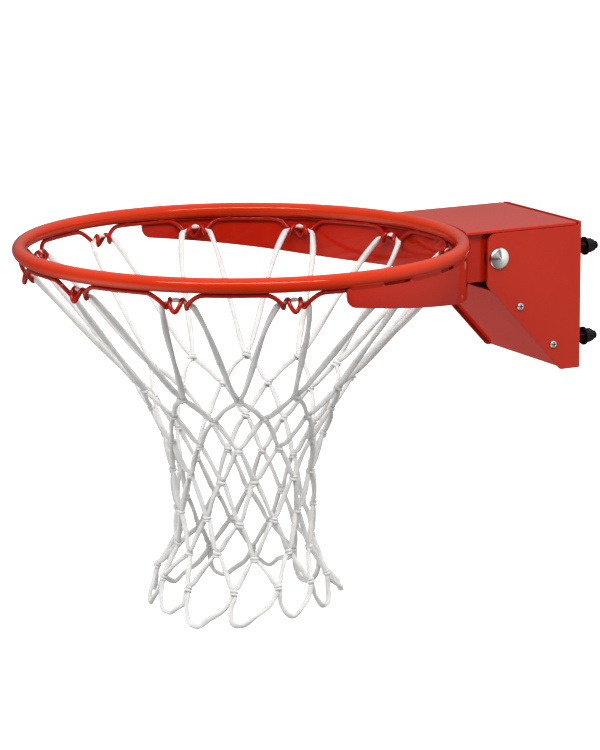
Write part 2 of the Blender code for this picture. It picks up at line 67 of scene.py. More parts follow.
BAND_LOW, BAND_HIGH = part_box("brace_band")
BAND_OUTSIDE = BAND_HIGH.x
BAND_OVERHANG = RING_CENTRE.y - BAND_LOW.y
BAND_LENGTH = BAND_OUTSIDE * math.pi / 2 + BAND_OVERHANG
BAND_FULL_DEPTH = RING_CENTRE.z - BAND_LOW.z
BAND_TOP = RING_CENTRE.z - BAND_HIGH.z

# Sheet thickness, and the band's lower edge: its depth at the band's end, the distances from
# that end up to which it slopes evenly and from which it is level, and its corner's radius
SHEET = 0.003
BAND_END_DEPTH = 0.027
BAND_SLOPE_END = 0.170
BAND_LEVEL_START = 0.281
BAND_CORNER = 0.010

# Gaps in the weld, as distances from the band's end, and how far the band dips in them
WELD_GAPS = [(0.0450, 0.0815), (0.1370, 0.1690)]
WELD_GAP_DEPTH = 0.0012

# Hinge line, lever pin, bolts and spring
PIN_LOW, PIN_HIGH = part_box("lever_pin")
PIN = (PIN_LOW + PIN_HIGH) / 2
SLEEVE_LOW, SLEEVE_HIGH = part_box("pivot_sleeve")
PIVOT = (SLEEVE_LOW + SLEEVE_HIGH) / 2
PIVOT_SHANK_RADIUS = 0.006
PIVOT_HEAD_RADIUS = 0.012
PIVOT_HEAD_HEIGHT = 0.0053
BOLT_SHANK_RADIUS = 0.0047
BOLT_NECK_LENGTH = 0.0055
BOLT_THREAD_PITCH = 0.00159
THREAD_DEPTH = 0.0006
SPRING_RADIUS = 0.01075
SPRING_WIRE = 0.00225
SPRING_TURNS = 6

# Hooks and net
HOOKS = 12
HOOK_STEP = 2 * math.pi / HOOKS
HOOK_TURN = math.radians(-1.2)
WIRE_RADIUS = 0.0024
CORD_RADIUS = 0.0027
LEG_RADIUS = 0.0031
TIED_RADIUS = 0.0020
CORD_SPACING = 0.0022
AXIS = np.array(tuple(RING_CENTRE))
LEVEL = np.array((1.0, 1.0, 0.0))
DOWN = np.array((0.0, 0.0, -1.0))

# Camera: what it looks at, where it stands, and its lens in millimetres
CAMERA_AIM = Vector((0.0520, -0.3388, -0.0605))
CAMERA_AZIMUTH = 61.97
CAMERA_ELEVATION = 12.18
CAMERA_DISTANCE = 3.4756
CAMERA_LENS = 156.12
CAMERA_ROLL = -0.31

# Key light: where it stands, its length and width in metres, and its brightness
KEY_AZIMUTH = 62
KEY_ELEVATION = 45
KEY_DISTANCE = 2.6
KEY_SIZE = (3.6, 0.28)
KEY_RADIANCE = 17.5

# Below 1 darkens the mid-tones of what the camera sees
VIEW_GAMMA = 0.8


# ---------------------------------------------------------------- meshes


def add_object(name, mesh, surface, body, replaced=(), smooth_under=40):
    """Links a mesh as a piece of the goal that rides on a body."""
    mesh.shade_smooth()
    mesh.set_sharp_from_angle(angle=math.radians(smooth_under))
    return link_piece(name, mesh, surface, body, replaced)


def link_piece(name, mesh, surface, body, replaced=()):
    """Links a mesh with its shading as it is. A piece without a body is left without a parent."""
    mesh.materials.clear()
    mesh.materials.append(surface)
    obj = bpy.data.objects.new(name, mesh)
    bpy.context.scene.collection.objects.link(obj)
    if body:
        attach(obj, body)
    if replaced:
        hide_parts(*replaced)
    return obj


class Soup:
    """Vertices, faces and UVs of many tubes gathered into one mesh."""

    def __init__(self):
        self.verts, self.faces, self.uvs = [], [], []
        self.count = 0

    def add(self, verts, faces, uvs):
        self.verts.append(verts)
        self.faces += [[i + self.count for i in face] for face in faces]
        self.uvs += uvs
        self.count += len(verts)

    def mesh(self, name):
        mesh = bpy.data.meshes.new(name)
        mesh.from_pydata(np.vstack(self.verts).tolist(), [], self.faces)
        layer = mesh.uv_layers.new(name="Along")
        layer.data.foreach_set("uv", np.array(self.uvs, np.float32).ravel())
        mesh.validate()
        return mesh


def distances_along(path):
    """How far each point of a path is from its start, measured along it."""
    return np.concatenate([[0], np.cumsum(np.linalg.norm(np.diff(path, axis=0), axis=1))])


def smooth_path(points, spacing, closed=False):
    """Evenly spaced points on a Catmull-Rom curve through the given points."""
    points = np.array([tuple(p) for p in points], float)
    if closed:
        padded = np.vstack([points[-1:], points, points[:2]])
    else:
        padded = np.vstack([2 * points[0] - points[1], points, 2 * points[-1] - points[-2]])
    t = np.linspace(0, 1, 16, endpoint=False)[:, None]
    spans = []
    for a, b, c, d in zip(padded, padded[1:], padded[2:], padded[3:]):
        square, cube = 2 * a - 5 * b + 4 * c - d, 3 * b - a - 3 * c + d
        spans.append((2 * b + (c - a) * t + square * t**2 + cube * t**3) / 2)
    dense = np.vstack(spans + [padded[-2:-1]])
    reach = distances_along(dense)
    count = max(int(round(reach[-1] / spacing)), 3)
    marks = np.linspace(0, reach[-1], count + 1)
    path = np.stack([np.interp(marks, reach, dense[:, i]) for i in range(3)], axis=1)
    return path[:-1] if closed else path


def unit(vectors):
    """Vectors of the same directions and of length 1."""
    return vectors / np.maximum(np.linalg.norm(vectors, axis=-1, keepdims=True), 1e-12)


def path_frames(path, closed=False):
    """Tangents with two normals that turn as little as possible along the path."""
    if closed:
        tangents = unit(np.roll(path, -1, axis=0) - np.roll(path, 1, axis=0))
    else:
        tangents = unit(np.gradient(path, axis=0))
    start = np.cross(tangents[0], (0.31, 0.17, 0.93))
    normals = [unit(start)]
    for tangent in tangents[1:]:
        normal = normals[-1] - tangent * (normals[-1] @ tangent)
        normals.append(unit(normal))
    normals = np.array(normals)
    if closed:
        last = unit(normals[-1] - tangents[0] * (normals[-1] @ tangents[0]))
        side = np.cross(tangents[0], last)
        miss = math.atan2(normals[0] @ side, normals[0] @ last)
        turn = np.linspace(0, miss, len(path))[:, None]
        normals = normals * np.cos(turn) + np.cross(tangents, normals) * np.sin(turn)
    return tangents, normals, np.cross(tangents, normals)


def tube(path, radii, sides=12, closed=False, lobes=0, depth=0.0, pitch=0.014, start_turn=0.0):
    """A round or lobed, twisted tube along a path, with closed ends unless the path is."""
    tangents, normals, sideways = path_frames(path, closed)
    count = len(path)
    radii = np.broadcast_to(np.asarray(radii, float), (count,))
    reach = distances_along(path)
    angles = np.arange(sides) * 2 * math.pi / sides
    twist = start_turn + 2 * math.pi * reach[:, None] / pitch
    shape = 1 + depth * np.cos(lobes * (angles[None, :] - twist / max(lobes, 1)))
    size = (radii[:, None] * shape)[:, :, None]
    across = normals[:, None, :] * np.cos(angles)[None, :, None]
    aside = sideways[:, None, :] * np.sin(angles)[None, :, None]
    rings = path[:, None, :] + size * (across + aside)
    verts = rings.reshape(-1, 3)
    faces, uvs = [], []
    for i in range(count if closed else count - 1):
        j = (i + 1) % count
        u0, u1 = reach[i], reach[i] + np.linalg.norm(path[j] - path[i])
        for k in range(sides):
            m = (k + 1) % sides
            faces.append([i * sides + k, i * sides + m, j * sides + m, j * sides + k])
            v0, v1 = k / sides, (k + 1) / sides
            uvs += [(u0, v0), (u0, v1), (u1, v1), (u1, v0)]
    if not closed:
        start_tip = path[:1] - tangents[:1] * radii[0] * 0.5
        end_tip = path[-1:] + tangents[-1:] * radii[-1] * 0.5
        verts = np.vstack([verts, start_tip, end_tip])
        first, last = count * sides, count * sides + 1
        end = (count - 1) * sides
        for k in range(sides):
            m = (k + 1) % sides
            faces.append([first, m, k])
            uvs += [(0, 0), (0, (k + 1) / sides), (0, k / sides)]
            faces.append([last, end + k, end + m])
            uvs += [(reach[-1], 0), (reach[-1], k / sides), (reach[-1], (k + 1) / sides)]
    return verts, faces, uvs


def revolve(profile, centre, axis, steps, closed_profile=False):
    """A bmesh of a (radius, height) profile turned round an axis through a centre."""
    turn = {"X": Matrix.Rotation(math.pi / 2, 4, "Y"), "Y": Matrix.Rotation(-math.pi / 2, 4, "X")}
    bm = bmesh.new()
    points = [bm.verts.new((radius, 0, height)) for radius, height in profile]
    loop = points + points[:1] if closed_profile else points
    edges = [bm.edges.new(pair) for pair in zip(loop, loop[1:])]
    bmesh.ops.spin(
        bm, geom=points + edges, cent=(0, 0, 0), axis=(0, 0, 1), angle=2 * math.pi, steps=steps
    )
    bmesh.ops.remove_doubles(bm, verts=bm.verts, dist=1e-6)
    bmesh.ops.recalc_face_normals(bm, faces=bm.faces)
    bmesh.ops.transform(bm, matrix=turn.get(axis, Matrix.Identity(4)), verts=bm.verts)
    bmesh.ops.translate(bm, verts=bm.verts, vec=Vector(centre))
    return bm


def join_loops(bm, loops):
    """Faces between each closed loop of vertices and the next."""
    for loop, after in zip(loops, loops[1:]):
        for i in range(len(loop)):
            j = (i + 1) % len(loop)
            bm.faces.new((loop[i], loop[j], after[j], after[i]))


def as_mesh(name, bm):
    """A mesh from a bmesh, which is used up, with its normals pointing out."""
    mesh = bpy.data.meshes.new(name)
    bmesh.ops.recalc_face_normals(bm, faces=bm.faces)
    bm.to_mesh(mesh)
    bm.free()
    return mesh


def softened(node, body, surface, width=0.0006):
    """A CAD piece with its sharp edges rounded off and its flat faces kept flat."""
    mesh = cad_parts[node].data.copy()
    bm = bmesh.new()
    bm.from_mesh(mesh)
    bmesh.ops.remove_doubles(bm, verts=bm.verts, dist=1e-6)
    bmesh.ops.dissolve_limit(bm, angle_limit=math.radians(0.4), verts=bm.verts, edges=bm.edges)
    bm.to_mesh(mesh)
    bm.free()
    mesh.shade_smooth()
    obj = bpy.data.objects.new("softening", mesh)
    bpy.context.scene.collection.objects.link(obj)
    bevel = obj.modifiers.new("round", "BEVEL")
    bevel.width = width
    bevel.segments = 2
    bevel.limit_method = "ANGLE"
    bevel.angle_limit = math.radians(35)
    bevel.use_clamp_overlap = True
    weight = obj.modifiers.new("flat", "WEIGHTED_NORMAL")
    weight.weight = 100
    graph = bpy.context.evaluated_depsgraph_get()
    result = bpy.data.meshes.new_from_object(obj.evaluated_get(graph))
    bpy.data.objects.remove(obj)
    return link_piece(node + "_finished", result, surface, body, [node])


# ---------------------------------------------------------------- materials


class Nodes:
    """Short calls for building one material's node tree."""

    def __init__(self, name):
        self.material = bpy.data.materials.new(name)
        self.material.use_nodes = True
        self.tree = self.material.node_tree
        self.shader = self.tree.nodes["Principled BSDF"]
        self.coordinates = self.add("ShaderNodeTexCoord").outputs["Object"]

    def add(self, kind, **values):
        node = self.tree.nodes.new(kind)
        for key, value in values.items():
            if key in node.inputs:
                node.inputs[key].default_value = value
            else:
                setattr(node, key, value)
        return node

    def link(self, output, target):
        self.tree.links.new(output, target)

    def noise(self, scale, detail=2.0):
        node = self.add("ShaderNodeTexNoise", Scale=scale, Detail=detail)
        self.link(self.coordinates, node.inputs["Vector"])
        return node.outputs["Fac"]

    def ramp(self, value, low, high, start, end):
        """A value that goes from start to end as another goes from low to high."""
        node = self.add("ShaderNodeMapRange")
        for key, number in (("From Min", low), ("From Max", high), ("To Min", start), ("To Max", end)):
            node.inputs[key].default_value = number
        self.link(value, node.inputs["Value"])
        return node.outputs["Result"]

    def colours(self, value, first, second, low=0.0, high=1.0):
        """A colour that goes from first to second as a value goes from low to high."""
        node = self.add("ShaderNodeValToRGB")
        node.color_ramp.elements[0].position = low
        node.color_ramp.elements[0].color = (*first, 1)
        node.color_ramp.elements[1].position = high
        node.color_ramp.elements[1].color = (*second, 1)
        self.link(value, node.inputs["Fac"])
        return node.outputs["Color"]

    def math(self, operation, a, b=None):
        node = self.add("ShaderNodeMath", operation=operation)
        for socket, value in zip(node.inputs, (a, b)):
            if value is None:
                continue
            if isinstance(value, (int, float)):
                socket.default_value = value
            else:
                self.link(value, socket)
        return node.outputs[0]

    def bump(self, height, strength, distance, after=None):
        node = self.add("ShaderNodeBump", Strength=strength, Distance=distance)
        self.link(height, node.inputs["Height"])
        if after:
            self.link(after, node.inputs["Normal"])
        return node.outputs["Normal"]

    def feed(self, socket, value):
        """Sets a socket of the shader to a plain value, or links a texture to it."""
        if isinstance(value, (int, float, tuple)):
            self.shader.inputs[socket].default_value = value
        else:
            self.link(value, self.shader.inputs[socket])


def powder_coat(name, dark, light):
    """Glossy powder coat, with its faint orange peel and slightly uneven gloss."""
    n = Nodes(name)
    n.feed("Base Color", n.colours(n.noise(9, 3), dark, light, 0.35, 0.65))
    n.feed("Roughness", n.ramp(n.noise(55, 3), 0.3, 0.7, 0.065, 0.095))
    n.feed("IOR", 1.5)
    n.feed("Specular IOR Level", 0.36)
    n.feed("Normal", n.bump(n.noise(260, 1.0), 0.06, 0.00004))
    return n.material


def turned_steel():
    """Bright stainless steel with a lathe's rings in its bump, and dark and bright wedges of painted
    reflection across the head.
    """
    n = Nodes("turned_steel")
    shifted = n.add("ShaderNodeVectorMath", operation="SUBTRACT")
    shifted.inputs[1].default_value = PIVOT
    n.link(n.coordinates, shifted.inputs[0])
    split = n.add("ShaderNodeSeparateXYZ")
    n.link(shifted.outputs[0], split.inputs[0])
    across = n.math("POWER", split.outputs["Y"], 2.0)
    up = n.math("POWER", split.outputs["Z"], 2.0)
    radius = n.math("SQRT", n.math("ADD", across, up))
    ring_spacing = 0.0007
    rings = n.math("SINE", n.math("MULTIPLY", radius, 2 * math.pi / ring_spacing))
    turn = n.math("ARCTAN2", split.outputs["Z"], split.outputs["Y"])
    shade = None
    # Dark and bright wedges of painted reflection, at fixed angles round the pivot's axis: the sunburst a
    # lit turned face shows
    for direction, narrowness, strength in ((1.75, 26, -0.62), (3.10, 34, -0.62), (2.45, 60, 0.20)):
        reflection_wedge = n.math("COSINE", n.math("SUBTRACT", turn, direction))
        reflection_wedge = n.math("POWER", n.math("MAXIMUM", reflection_wedge, 0.0), narrowness)
        reflection_wedge = n.math("MULTIPLY", reflection_wedge, strength)
        shade = n.math("ADD", reflection_wedge, shade) if shade else reflection_wedge
    tone = n.math("ADD", n.math("MULTIPLY", n.noise(300), 0.1), n.math("ADD", shade, 0.84))
    n.feed("Base Color", n.colours(tone, (0.06, 0.055, 0.05), (0.95, 0.93, 0.91)))
    n.feed("Metallic", 1.0)
    n.feed("Roughness", n.ramp(n.noise(160, 3), 0.3, 0.7, 0.26, 0.32))
    n.feed("Anisotropic", 0.8)
    tangent = n.add("ShaderNodeTangent", direction_type="RADIAL", axis="X")
    n.link(tangent.outputs[0], n.shader.inputs["Tangent"])
    n.feed("Normal", n.bump(rings, 0.10, 0.00002))
    return n.material


def zinc_plate():
    """Bright zinc, slightly mottled."""
    n = Nodes("zinc_plate")
    n.feed("Base Color", n.colours(n.noise(220, 3), (0.56, 0.57, 0.59), (0.72, 0.72, 0.71)))
    n.feed("Metallic", 1.0)
    n.feed("Roughness", n.ramp(n.noise(400, 3), 0.3, 0.7, 0.24, 0.40))
    n.feed("Normal", n.bump(n.noise(900), 0.2, 0.00004))
    return n.material


def black_oxide():
    """The dull black finish of the bolts, washers and nuts."""
    n = Nodes("black_oxide")
    n.feed("Base Color", n.colours(n.noise(180, 4), (0.010, 0.010, 0.011), (0.030, 0.030, 0.032)))
    n.feed("Metallic", 0.6)
    n.feed("Roughness", n.ramp(n.noise(350, 3), 0.3, 0.7, 0.30, 0.48))
    n.feed("Normal", n.bump(n.noise(1100), 0.25, 0.00005))
    return n.material


def moulded(name, dark, light, roughness, scale):
    """Rubber or nylon as it comes out of a mould."""
    n = Nodes(name)
    n.feed("Base Color", n.colours(n.noise(60, 3), dark, light))
    n.feed("Roughness", n.ramp(n.noise(240, 3), 0.3, 0.7, roughness - 0.06, roughness + 0.06))
    n.feed("Normal", n.bump(n.noise(scale), 0.3, 0.00008))
    return n.material


def braided_cord():
    """Off-white polyester braid: two sets of strands that cross in small diamonds."""
    n = Nodes("white_cord")
    uv = n.add("ShaderNodeUVMap", uv_map="Along")
    split = n.add("ShaderNodeSeparateXYZ")
    n.link(uv.outputs[0], split.inputs[0])
    strand_length = 0.0048
    along = n.math("MULTIPLY", split.outputs["X"], 1 / strand_length)
    around = n.math("MULTIPLY", split.outputs["Y"], 4.0)
    sets = []
    for turning in ("ADD", "SUBTRACT"):
        across = n.math("PINGPONG", n.math(turning, along, around), 0.5)
        sets.append(n.math("SINE", n.math("MULTIPLY", across, math.pi)))
    strands = n.math("MAXIMUM", *sets)
    fibres = n.noise(2600, 2)
    tone = n.math("ADD", n.math("MULTIPLY", strands, 0.15), n.math("MULTIPLY", n.noise(110, 3), 0.85))
    n.feed("Base Color", n.colours(tone, (0.635, 0.625, 0.61), (0.77, 0.765, 0.755), 0.25, 0.80))
    n.feed("Roughness", n.ramp(fibres, 0.3, 0.7, 0.72, 0.86))
    n.feed("Sheen Weight", 0.35)
    n.feed("Sheen Roughness", 0.5)
    n.feed("Subsurface Weight", 0.35)
    n.feed("Subsurface Radius", (1.0, 0.95, 0.88))
    n.feed("Subsurface Scale", 0.003)
    woven = n.bump(strands, 0.20, 0.00015)
    n.feed("Normal", n.bump(fibres, 0.10, 0.00004, woven))
    return n.material


def pale_floor(radius):
    """A plain pale surface that glows, more so further from the middle."""
    n = Nodes("pale_floor")
    n.feed("Base Color", (0.80, 0.80, 0.80, 1.0))
    n.feed("Roughness", 0.9)
    length = n.add("ShaderNodeVectorMath", operation="LENGTH")
    n.link(n.coordinates, length.inputs[0])
    n.feed("Emission Color", (1.0, 1.0, 1.0, 1.0))
    n.feed("Emission Strength", n.ramp(length.outputs["Value"], 2.0, radius, 0.35, 1.0))
    return n.material


# ---------------------------------------------------------------- ring, band and wire


def around_ring(angle, inward, drop):
    """A point by the ring: its angle from +Y, its distance in from the bar, and its drop."""
    radius = RING_RADIUS - inward
    return RING_CENTRE + Vector((radius * math.sin(angle), radius * math.cos(angle), -drop))


def ring_path(angles, inward, drop):
    """Points round the ring at a fixed distance in from the bar and below it."""
    return np.array([tuple(around_ring(angle, inward, drop)) for angle in angles])


def ring_bar(paint):
    """The round bar, bent into the ring."""
    sides = 36
    circle = [
        (RING_RADIUS + ROD_RADIUS * math.cos(a), ROD_RADIUS * math.sin(a))
        for a in (2 * math.pi * i / sides for i in range(sides))
    ]
    bm = revolve(circle, RING_CENTRE, "Z", 288, closed_profile=True)
    add_object("ring_bar", as_mesh("ring_bar", bm), paint, "rim", ["rim_ring"])


def band_depth(distance):
    """The band's lower edge below the ring, at a distance along it from its end."""
    level_off = BAND_LEVEL_START - BAND_SLOPE_END
    slope = 2 * (BAND_FULL_DEPTH - BAND_END_DEPTH) / (BAND_SLOPE_END + BAND_LEVEL_START)
    if distance < BAND_SLOPE_END:
        depth = BAND_END_DEPTH + slope * distance
    else:
        left = max(BAND_LEVEL_START - distance, 0)
        depth = BAND_FULL_DEPTH - slope * left**2 / (2 * level_off)
    if distance < BAND_CORNER:
        depth -= BAND_CORNER - math.sqrt(BAND_CORNER**2 - (BAND_CORNER - distance) ** 2)
    return depth


def in_gap(distance):
    """Whether the weld has a gap at a distance from the band's end."""
    return any(start < distance < end for start, end in WELD_GAPS)


def band_sheet(paint):
    """The band, with rounded edges, bent round the ring's rear half."""
    stations = set(np.linspace(0.012, BAND_LENGTH, 150)) | set(np.linspace(0.0, 0.0115, 14))
    for start, end in WELD_GAPS:
        stations |= {start, start + 0.0005, end - 0.0005, end}
    stations = sorted(stations)
    walk = [(-1, d) for d in stations] + [(1, d) for d in stations[-2::-1]]
    outer = RING_RADIUS - BAND_OUTSIDE
    inner = outer + SHEET
    rounding = 0.0007
    bm = bmesh.new()
    loops = []
    for side, distance in walk:
        angle = side * (BAND_LENGTH - distance) / BAND_OUTSIDE
        upper = BAND_TOP + (WELD_GAP_DEPTH if in_gap(distance) else 0)
        lower = band_depth(distance)
        corners = []
        for turn, (a, b) in enumerate(((inner, upper), (outer, upper), (outer, lower), (inner, lower))):
            sign_a = -1 if a == inner else 1
            sign_b = 1 if b == upper else -1
            centre = (a + sign_a * rounding, b + sign_b * rounding)
            for step in range(4):
                bend = math.pi / 2 * (turn + step / 3)
                across, down = rounding * math.cos(bend), rounding * math.sin(bend)
                corners.append((centre[0] + across, centre[1] - down))
        loops.append([bm.verts.new(around_ring(angle, a, b)) for a, b in corners])
    join_loops(bm, loops)
    bm.faces.new(loops[0])
    bm.faces.new(loops[-1])
    add_object("band_sheet", as_mesh("band_sheet", bm), paint, "rim", ["brace_band"])


def bead(soup, path, radius, seed):
    """A painted weld bead with soft ripples and tapered ends."""
    rng = random.Random(seed)
    count = len(path)
    phase = rng.uniform(0, 6)
    places = np.arange(count)
    ripple = 1 + 0.07 * np.sin(places * 0.9 + phase) + 0.04 * np.sin(places * 0.37 + phase * 2)
    taper = np.clip(np.minimum(places, places[::-1]) / 3, 0.25, 1)
    soup.add(*tube(path, radius * ripple * taper, sides=10))


def fillet(bm, distances, roughness, rng):
    """The weld that runs smoothly from the bar's side onto the band's outer face."""
    outline = [
        (-0.0064, 0.0036),
        (-0.0066, 0.0050),
        (-0.0063, 0.0060),
        (-0.0057, 0.0075),
        (-0.0052, 0.0092),
        (-0.0049, 0.0104),
    ]
    root = [Vector((-0.0036, 0.0100)), Vector((-0.0036, 0.0050))]
    heel = Vector((-0.0044, 0.0068))
    taper = 0.005
    loops = []
    phase = rng.uniform(0, 6)
    for distance in distances:
        near = min(distance - distances[0], distances[-1] - distance)
        full = math.sin(min(near / taper, 1) * math.pi / 2) ** 0.7
        wave = math.sin(distance / 0.0040 + phase) + 0.7 * math.sin(distance / 0.0029 + 2 * phase)
        swell = Vector((-roughness * wave * 0.5, 0))
        corners = [heel.lerp(Vector(place), full) + swell for place in outline] + root
        angle = (distance - BAND_LENGTH) / BAND_OUTSIDE
        loops.append([bm.verts.new(around_ring(angle, c.x, c.y)) for c in corners])
    join_loops(bm, loops)
    bm.faces.new(loops[0])
    bm.faces.new(loops[-1])


def welds(paint, shaded_wire_coat):
    """The welds that join the band and the hook wire to the bar."""
    whole = 2 * BAND_LENGTH
    edges = [0.002] + [mark for gap in WELD_GAPS for mark in gap]
    last_gap_end = edges[-1]
    runs = list(zip(edges[::2], edges[1::2])) + [(last_gap_end, whole - last_gap_end)]
    runs += [(whole - end, whole - start) for start, end in runs[:-1]]
    uneven_runs = (1, 4)
    rng = random.Random(3)
    bm = bmesh.new()
    for number, (start, end) in enumerate(runs):
        marks = np.linspace(start, end, int((end - start) / 0.0007))
        fillet(bm, marks, 0.00016 if number in uneven_runs else 0.00003, rng)
    add_object("band_welds", as_mesh("band_welds", bm), paint, "rim", smooth_under=50)

    soup = Soup()
    inside = (np.arange(0.004, whole - 0.004, 0.0016) - BAND_LENGTH) / BAND_OUTSIDE
    bead(soup, ring_path(inside, 0.0003, 0.0090), 0.0015, 7)
    for number in range(HOOKS):
        for offset in (-0.040, 0.040):
            middle = HOOK_STEP * (number + 0.5) + HOOK_TURN + offset / RING_RADIUS
            angles = middle + np.arange(-0.006, 0.0061, 0.0012) / RING_RADIUS
            bead(soup, ring_path(angles, 0.0027, 0.0083), 0.0011, 100 + number)
    # The wire's welds take the hook wire's darker coat, which is painted shade
    wire_welds = soup.mesh("wire_welds")
    add_object("wire_welds", wire_welds, shaded_wire_coat, "rim", smooth_under=60)


# Half a hook, from its middle outwards: along the bar, inward from it, drop below it
HALF_HOOK = [
    (0.0000, 0.0016, 0.0287),
    (0.0052, 0.0031, 0.0222),
    (0.0066, 0.0077, 0.0163),
    (0.0092, 0.0119, 0.0212),
    (0.0110, 0.0090, 0.0255),
    (0.0134, 0.0050, 0.0212),
    (0.0182, 0.0022, 0.0160),
    (0.0245, 0.0009, 0.0118),
    (0.0305, 0.0007, 0.0103),
]


def hook_path():
    """The whole way of the wire round the ring."""
    places = []
    mirrored = [(-a, b, c) for a, b, c in HALF_HOOK[:0:-1]]
    span = HOOK_STEP * RING_RADIUS
    for number in range(HOOKS):
        middle = HOOK_STEP * (number + 0.5) + HOOK_TURN
        for along, inward, drop in mirrored + HALF_HOOK:
            places.append(around_ring(middle + along / RING_RADIUS, inward, drop))
        for between in (0.042, span / 2, span - 0.042):
            places.append(around_ring(middle + between / RING_RADIUS, 0.0007, 0.0101))
    return smooth_path(places, 0.0011, closed=True)


def hook_wire(path, paint):
    """The wire under the ring, bent into twelve ram's-horn hooks."""
    soup = Soup()
    soup.add(*tube(path, WIRE_RADIUS, sides=12, closed=True))
    add_object("hook_wire", soup.mesh("hook_wire"), paint, "rim", ["net_wire"])


# ---------------------------------------------------------------- net

# Radius and drop of each row of knots; odd rows sit between the hooks, even ones under them
KNOT_ROWS = [
    (0.1168, 0.1442),
    (0.1000, 0.1720),
    (0.0850, 0.2058),
    (0.0755, 0.2430),
    (0.0730, 0.2860),
    (0.0750, 0.3250),
    (0.0930, 0.3560),
]
LOOP_BOTTOM = (0.1030, 0.3920)


def sway(drop):
    """How far the net's foot hangs to one side at a drop below the ring."""
    starts, over = 0.32, 0.06
    return np.array((-0.0030, -0.0056, 0)) * max(drop - starts, 0) / over


def net_point(angle, radius, drop):
    """A point on the net: its angle from +Y, its distance from the ring's axis and its drop."""
    place = np.array((radius * math.sin(angle), radius * math.cos(angle), -drop))
    return AXIS + place + sway(drop)


def place_knots():
    """Centres of the knots, row by row, a little uneven as cord always hangs."""
    rng = random.Random(12)
    rows = []
    for row, (radius, drop) in enumerate(KNOT_ROWS):
        loose = 0.4 + 0.22 * row
        twist = math.radians(0.15 * row**2)
        knots = []
        for number in range(HOOKS):
            angle = HOOK_STEP * (number + 0.5 * (row % 2)) + HOOK_TURN + twist
            angle += math.radians(rng.gauss(0, 1.0)) * loose
            own_radius = radius * (1 + 0.016 * loose * rng.gauss(0, 1))
            own_drop = drop + 0.0016 * loose * rng.gauss(0, 1)
            lean = 0.014 * own_radius * -math.cos(angle) / (1 + row)
            knots.append(net_point(angle, own_radius, own_drop + lean))
        rows.append(knots)
    return rows


def slope_down(point, row):
    """The net's own downward direction at a knot of a row."""
    before = KNOT_ROWS[max(row - 1, 0)]
    after = KNOT_ROWS[row + 1] if row + 1 < len(KNOT_ROWS) else LOOP_BOTTOM
    return unit(outward_of(point) * (after[0] - before[0]) + DOWN * (after[1] - before[1]))


def outward_of(point):
    """The level direction away from the net's axis at a point."""
    return unit((point - AXIS) * LEVEL)


def sideways_of(point):
    """The level direction round the net at a point, towards larger angles."""
    away = point - AXIS
    return unit(np.array((away[1], -away[0], 0.0)))


def narrowed(path, ends, full, reach=0.009):
    """Cord radii along a path: full in the stretch, drawn in where it enters a knot."""
    along = distances_along(path)
    from_end = np.minimum(along, along[-1] - along)
    share = np.clip(from_end / reach, 0, 1)
    share = share * share * (3 - 2 * share)
    return ends + (full - ends) * share


def lay_cord(soup, points, rng):
    """A slightly flattened cord through points, drawn in at both ends."""
    path = smooth_path(points, CORD_SPACING)
    radii = narrowed(path, TIED_RADIUS, CORD_RADIUS)
    turn = rng.uniform(0, 6)
    soup.add(*tube(path, radii, sides=12, lobes=2, depth=0.13, pitch=0.060, start_turn=turn))


def mesh_cord(soup, start, end, row, rng):
    """One side of a diamond, from a knot to a knot of the next row."""
    side = 1.0 if (end - start) @ sideways_of(start) > 0 else -1.0
    first = start + sideways_of(start) * side * 0.0016
    last = end - sideways_of(end) * side * 0.0016
    down_first, down_last = slope_down(start, row), slope_down(end, row + 1)
    across = sideways_of((start + end) / 2) * side
    outward = outward_of((first + last) / 2)
    slack = 0.0030 if row == 0 else 0.0012
    bow = across * slack * rng.uniform(0.5, 1.5) + outward * rng.uniform(-0.0008, 0.0022)
    points = [
        first - down_first * 0.001,
        first + (last - first) * 0.10 + across * 0.0008,
        first + (last - first) * 0.30 + bow * 0.9,
        first + (last - first) * 0.55 + bow,
        first + (last - first) * 0.80 + bow * 0.6,
        last - down_last * 0.0038,
        last + down_last * 0.001,
    ]
    lay_cord(soup, points, rng)


def knot(soup, centre, down, size, rng):
    """A cord wound nearly twice round the crossing, its ends tucked in."""
    across = unit(np.cross(down, outward_of(centre)))
    out = np.cross(across, down)
    turns, steps = 1.9, 26
    start = rng.uniform(0, 2 * math.pi)
    lean = rng.uniform(-0.25, 0.25)
    points = []
    for step in range(steps + 1):
        share = step / steps
        angle = start + 2 * math.pi * turns * share
        tuck = min(share, 1 - share) / 0.10
        reach = size * (0.35 + 0.65 * min(tuck, 1.0))
        height = (share - 0.5) * 2 * size * 0.95 + lean * size * math.cos(angle)
        wide = across * reach * 1.12 * math.cos(angle)
        deep = out * reach * 0.9 * math.sin(angle)
        points.append(centre + wide + deep + down * height)
    path = smooth_path(points, 0.0019)
    soup.add(*tube(path, size * 0.52, sides=10, lobes=3, depth=0.05, pitch=0.011))


# Half of a loop's way over its hook: along the bar, inward, drop
HOOK_RUN = [
    (0.0000, 0.0072, 0.0168),
    (0.0060, 0.0075, 0.0178),
    (0.0090, 0.0081, 0.0194),
    (0.0115, 0.0093, 0.0205),
    (0.0145, 0.0110, 0.0220),
    (0.0173, 0.0122, 0.0245),
]


def room_beside(path, wire):
    """How thick a cord along a path may be before it touches the hook wire."""
    near = wire[np.linalg.norm(wire - path[len(path) // 2], axis=1) < 0.05]
    gaps = np.linalg.norm(path[:, None, :] - near[None, :, :], axis=2).min(axis=1)
    return np.maximum(gaps - WIRE_RADIUS, 0.0013)


